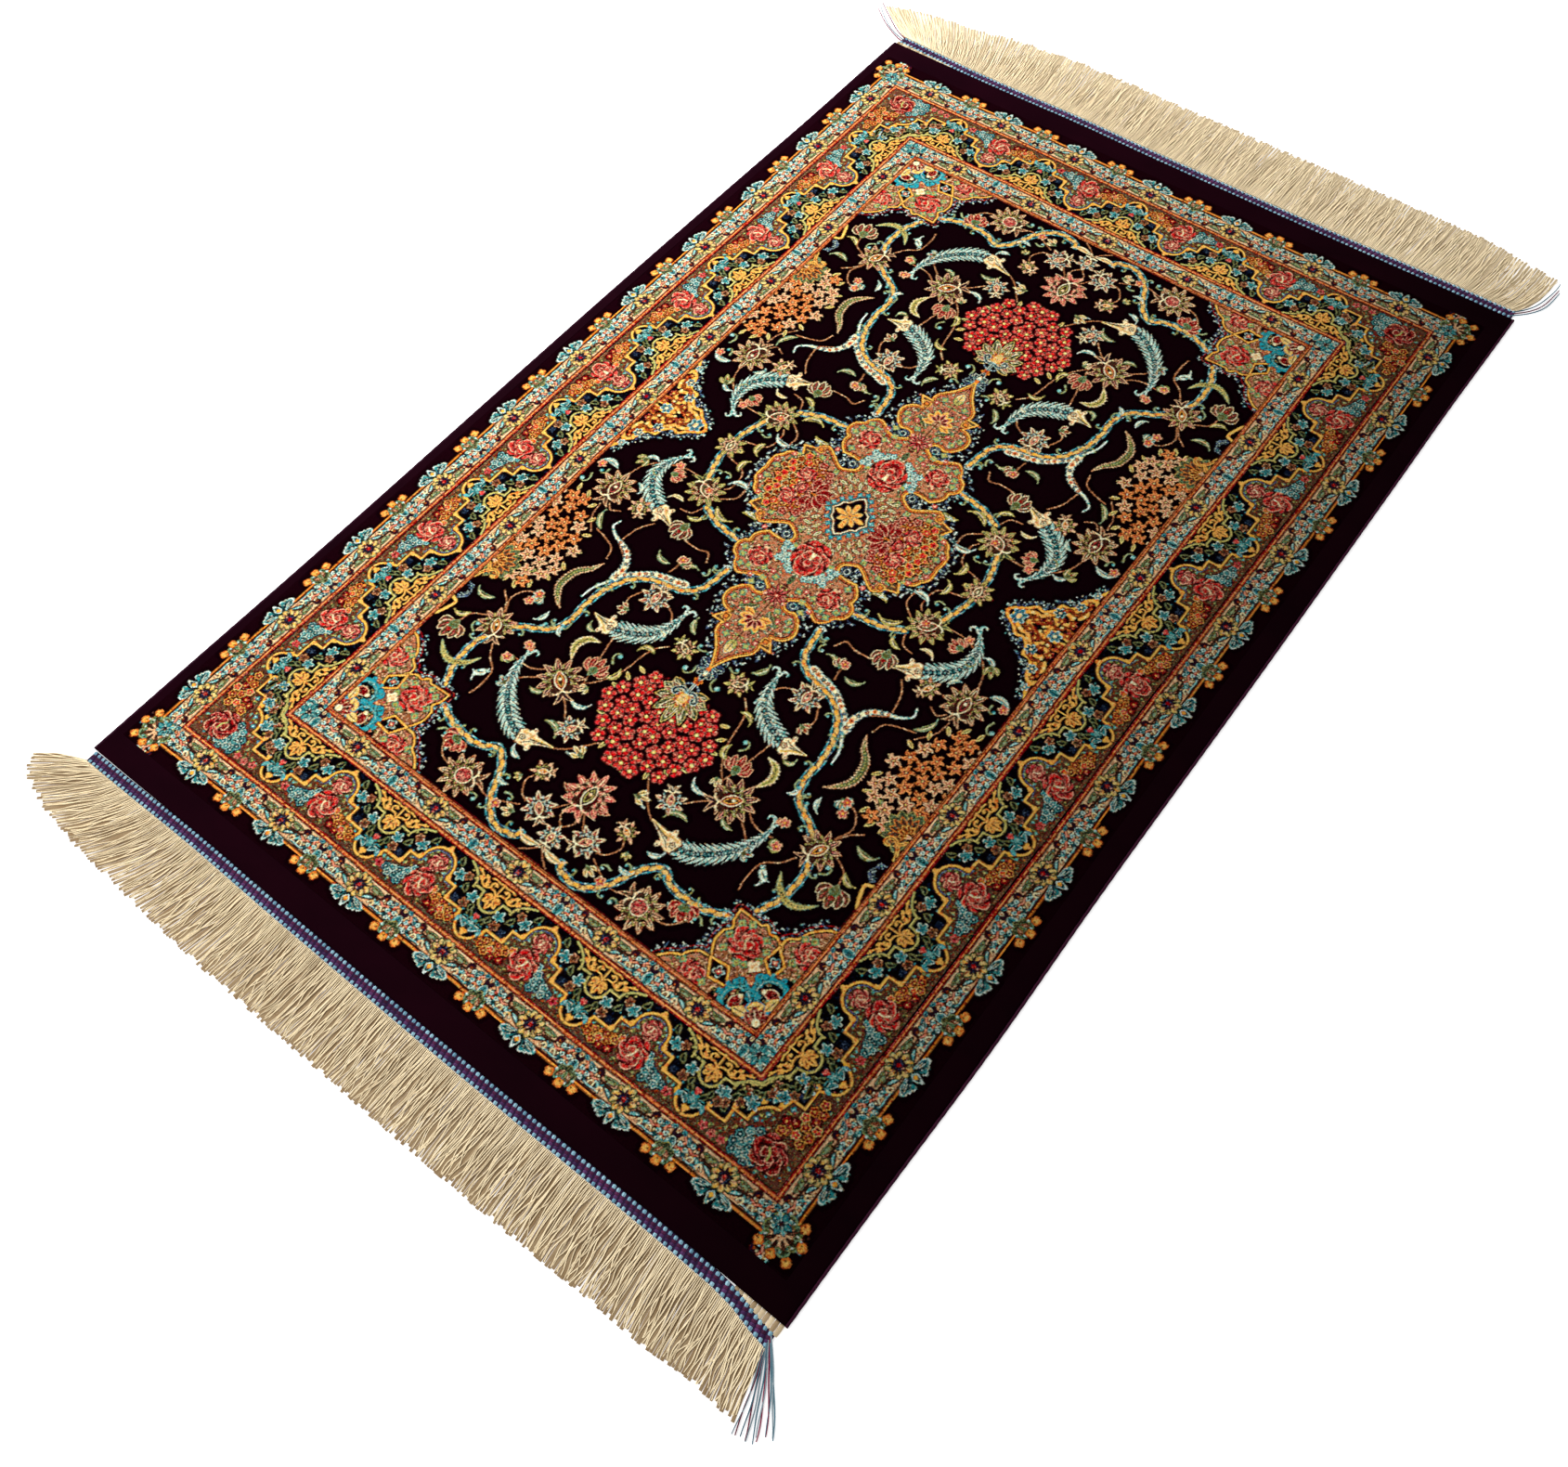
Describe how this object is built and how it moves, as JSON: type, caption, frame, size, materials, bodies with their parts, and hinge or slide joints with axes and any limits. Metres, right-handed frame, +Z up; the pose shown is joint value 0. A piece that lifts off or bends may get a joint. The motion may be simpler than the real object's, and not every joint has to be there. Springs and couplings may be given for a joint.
{
  "type": "persian rug",
  "caption": "Flat rectangular knotted silk pile rug with overcast sides, twined end bands, long cut cream fringes and a few loose coloured threads at its corners.",
  "frame": {"origin": "centre of the pile panel's underside, where it lies on the floor", "axes": "+X across the rug, +Y along the rug towards its far end, +Z up out of the pile"},
  "size_m": [0.899, 1.4245, 0.0034],
  "materials": {
    "pile": "short clipped silk pile in many dyes, soft sheen",
    "selvedge": "plum silk overcasting",
    "band": "twined silk threads, light blue and plum",
    "warp": "bunched undyed cream warps",
    "fringe": "loose twisted cream strands",
    "loose_thread": "loose silk thread ends, light blue, crimson and white"
  },
  "bodies": {
    "root": {"rug_pile": "pile", "selvedge_left": "selvedge", "selvedge_right": "selvedge", "band_near": "band", "band_far": "band", "bare_warps_near": "warp", "bare_warps_far": "warp", "fringe_near": "fringe", "fringe_far": "fringe", "loose_threads_near": "loose_thread", "loose_threads_far_left": "loose_thread", "loose_threads_far_right": "loose_thread"}
  },
  "joints": []
}
